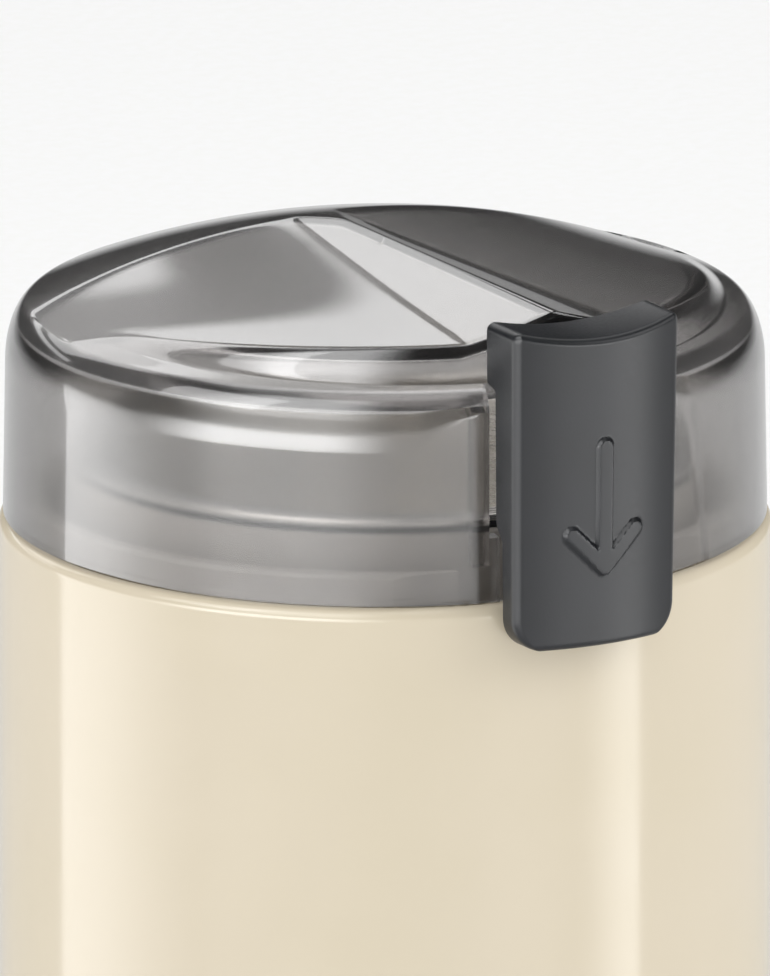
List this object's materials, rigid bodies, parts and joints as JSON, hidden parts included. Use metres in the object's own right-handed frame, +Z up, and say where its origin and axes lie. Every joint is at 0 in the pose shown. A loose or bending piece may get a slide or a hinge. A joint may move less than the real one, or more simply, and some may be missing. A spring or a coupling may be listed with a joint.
{
  "type": "electric spice grinder",
  "caption": "Round electric spice and coffee grinder: cream body, smoky clear lid with a ridge, side press button, steel bowl and spinning blade.",
  "frame": {"origin": "on the motor axis, at the flat face of the foot ring that rests on the table", "axes": "+Z up along the motor shaft, -Y towards the press button, +X to the right seen from the button's side"},
  "size_m": [0.089, 0.0972, 0.1708],
  "materials": {
    "cream_plastic": "polished moulded ABS, cream",
    "smoky_clear": "smoky clear SAN, polished",
    "dark_plastic": "fine satin moulded ABS, dark grey",
    "deck_plastic": "satin moulded ABS, warm grey",
    "slide_plastic": "moulded acetal, grey",
    "black_plastic": "moulded nylon, black",
    "stainless": "spun stainless steel",
    "steel": "plated steel",
    "bronze": "sintered bronze",
    "cast_metal": "die cast, as cast",
    "lamination_steel": "stacked laminations",
    "copper": "enamelled copper",
    "carbon": "pressed carbon",
    "rubber": "moulded rubber"
  },
  "bodies": {
    "housing": {"body_shell": "cream_plastic", "base_plate": "dark_plastic", "base_screws": "steel", "foot_ring": "rubber", "cord_inlet_bush": "rubber", "top_deck": "deck_plastic", "grinding_bowl": "stainless", "bowl_gasket": "rubber", "shaft_seal": "rubber", "return_spring": "steel", "switch_bracket": "slide_plastic", "micro_switch": "black_plastic", "upper_bearing": "bronze", "lower_bearing": "bronze", "upper_bracket": "cast_metal", "lower_bracket": "cast_metal", "motor_screws": "steel", "damper_screws": "steel", "motor_dampers": "rubber", "stator_core": "lamination_steel", "field_coils": "copper", "carbon_brushes": "carbon", "brush_holders": "bronze", "brush_springs": "steel"},
    "rotor": {"motor_shaft": "steel", "armature_core": "lamination_steel", "armature_windings": "copper", "commutator": "copper", "cooling_fan": "black_plastic", "blade_hub": "bronze", "blade": "stainless", "blade_nut": "stainless"},
    "lid": {"lid": "smoky_clear"},
    "button": {"press_button": "dark_plastic", "button_slide": "slide_plastic"},
    "lever": {"switch_lever": "steel"},
    "plunger": {"switch_plunger": "slide_plastic"}
  },
  "joints": [
    {"name": "lid_lift", "type": "slide", "parent": "housing", "child": "lid", "axis": [0, 0, 1], "range_m": [0, 0.06]},
    {"name": "button_press", "type": "slide", "parent": "housing", "child": "button", "axis": [0, 0, -1], "range_m": [0, 0.004], "stiffness_N_per_m": 700, "springref_m": -0.003, "deforming": ["return_spring"]},
    {"name": "lever_swing", "type": "hinge", "parent": "housing", "child": "lever", "pos_m": [-0.0122, -0.035, 0.0957], "axis": [0, 1, 0], "range_deg": [0, 18.8]},
    {"name": "plunger_press", "type": "slide", "parent": "housing", "child": "plunger", "axis": [0, 0, -1], "range_m": [0, 0.00132]},
    {"name": "rotor_spin", "type": "hinge", "parent": "housing", "child": "rotor", "pos_m": [0, 0, 0.1], "axis": [0, 0, 1], "continuous": true}
  ],
  "couplings": [
    {"joint": "lever_swing", "follows": "button_press", "rad_per_m": 81.967},
    {"joint": "plunger_press", "follows": "button_press", "ratio": 0.32787}
  ]
}
